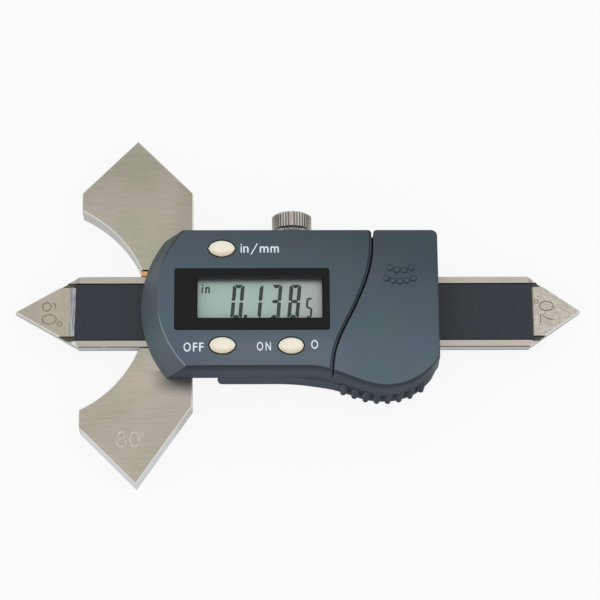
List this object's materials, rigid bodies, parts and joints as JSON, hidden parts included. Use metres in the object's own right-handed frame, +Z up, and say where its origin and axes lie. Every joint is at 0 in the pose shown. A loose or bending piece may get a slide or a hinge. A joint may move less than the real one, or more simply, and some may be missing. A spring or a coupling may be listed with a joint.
{
  "type": "digital weld angle gauge",
  "caption": "Steel cross with 90 and 80 degree wings, a sliding beam with 60 and 70 degree points, and a plastic housing with a digital display.",
  "frame": {"origin": "on the surface the gauge lies on, under the middle of its outline", "axes": "+X along the beam from the 60 degree point to the 70 degree point, +Y towards the 90 degree wing and the lock screw, +Z up out of the display"},
  "size_m": [0.1234, 0.0776, 0.0165],
  "materials": {
    "steel": "fine ground stainless steel",
    "bright_steel": "bright turned or pressed metal",
    "bronze": "drawn bronze",
    "slate_plastic": "fine satin moulding in slate grey",
    "ivory_plastic": "smooth ivory moulding",
    "black_plastic": "smooth black",
    "scale_film": "dark satin film",
    "clear_window": "clear acrylic",
    "lcd_glass": "grey-green liquid crystal glass",
    "white_plastic": "plain moulding",
    "zebra_rubber": "soft connector strip",
    "circuit_board": "lacquered board",
    "black_resin": "cast resin"
  },
  "bodies": {
    "frame_and_housing": {"cross_frame": "steel", "gib_strip": "bronze", "gib_screw_left": "bright_steel", "gib_screw_right": "bright_steel", "housing": "slate_plastic", "window_bezel": "black_plastic", "display_window": "clear_window", "lcd_panel": "lcd_glass", "lcd_holder": "white_plastic", "zebra_strip_low": "zebra_rubber", "zebra_strip_top": "zebra_rubber", "circuit_board": "circuit_board", "chip_cap": "black_resin", "unit_dome": "bright_steel", "off_dome": "bright_steel", "zero_dome": "bright_steel", "button_cell": "bright_steel", "contact_minus": "bright_steel", "contact_plus": "bright_steel", "housing_screw_1": "bright_steel", "housing_screw_2": "bright_steel", "housing_screw_3": "bright_steel", "housing_screw_4": "bright_steel"},
    "beam": {"beam": "steel", "scale_strip": "scale_film"},
    "lock_screw": {"lock_screw": "bright_steel"},
    "unit_button": {"unit_button": "ivory_plastic"},
    "off_button": {"off_button": "ivory_plastic"},
    "zero_button": {"zero_button": "ivory_plastic"},
    "battery_cover": {"battery_cover": "slate_plastic"}
  },
  "joints": [
    {"name": "beam_slide", "type": "slide", "parent": "frame_and_housing", "child": "beam", "axis": [1, 0, 0], "range_m": [-0.0127, 0.02]},
    {"name": "lock_screw_turn", "type": "hinge", "parent": "frame_and_housing", "child": "lock_screw", "pos_m": [-0.00135, 0.0182, 0.0046], "axis": [0, 1, 0], "range_deg": [-90, 360]},
    {"name": "unit_press", "type": "slide", "parent": "frame_and_housing", "child": "unit_button", "axis": [0, 0, -1], "range_m": [0, 0.0004], "stiffness_N_per_m": 800},
    {"name": "off_press", "type": "slide", "parent": "frame_and_housing", "child": "off_button", "axis": [0, 0, -1], "range_m": [0, 0.0004], "stiffness_N_per_m": 800},
    {"name": "zero_press", "type": "slide", "parent": "frame_and_housing", "child": "zero_button", "axis": [0, 0, -1], "range_m": [0, 0.0004], "stiffness_N_per_m": 800},
    {"name": "cover_slide", "type": "slide", "parent": "frame_and_housing", "child": "battery_cover", "axis": [1, 0, 0], "range_m": [0, 0.026]}
  ]
}
